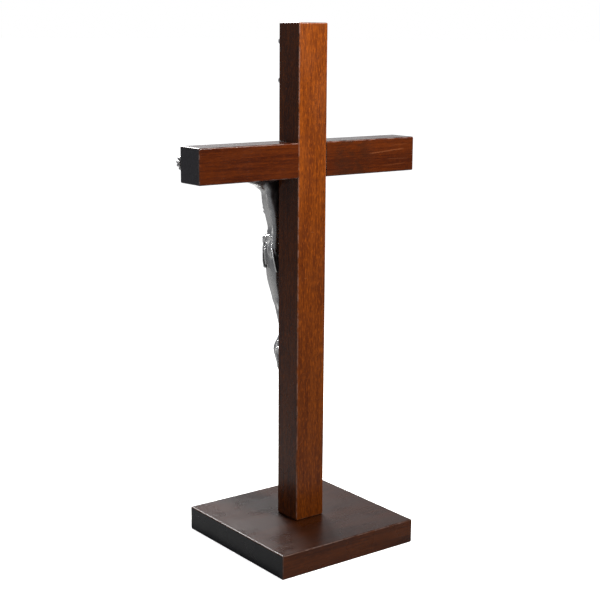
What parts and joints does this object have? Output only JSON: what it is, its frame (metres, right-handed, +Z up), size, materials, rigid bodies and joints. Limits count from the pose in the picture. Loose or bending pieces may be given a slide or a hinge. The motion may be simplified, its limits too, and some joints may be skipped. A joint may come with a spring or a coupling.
{
  "type": "standing cross",
  "caption": "Table cross of stained beech on a square foot, with a half-lapped bar, a cast metal figure, a blank title plate, and the screw, nails and pins that hold them.",
  "frame": {"origin": "middle of the foot's underside, on the surface that the cross stands on", "axes": "+Z up along the post, +X to the figure's left along the bar, -Y the way the figure faces"},
  "size_m": [0.159, 0.1, 0.318],
  "materials": {
    "stained_beech_foot": "walnut-stained beech, satin lacquer",
    "stained_beech_post": "walnut-stained beech, satin lacquer",
    "stained_beech_bar": "walnut-stained beech, satin lacquer",
    "zinc_steel": "zinc-plated steel",
    "antique_silver": "silver-plated casting, polished, dark in the hollows",
    "nickel_nail": "nickel-plated"
  },
  "bodies": {
    "root": {"base_plate": "stained_beech_foot", "upright_post": "stained_beech_post", "crossbar": "stained_beech_bar", "base_screw": "zinc_steel", "corpus": "antique_silver", "title_plate": "antique_silver", "nail_left_hand": "nickel_nail", "nail_right_hand": "nickel_nail", "nail_feet": "nickel_nail", "title_pin_upper": "nickel_nail", "title_pin_lower": "nickel_nail"}
  },
  "joints": []
}
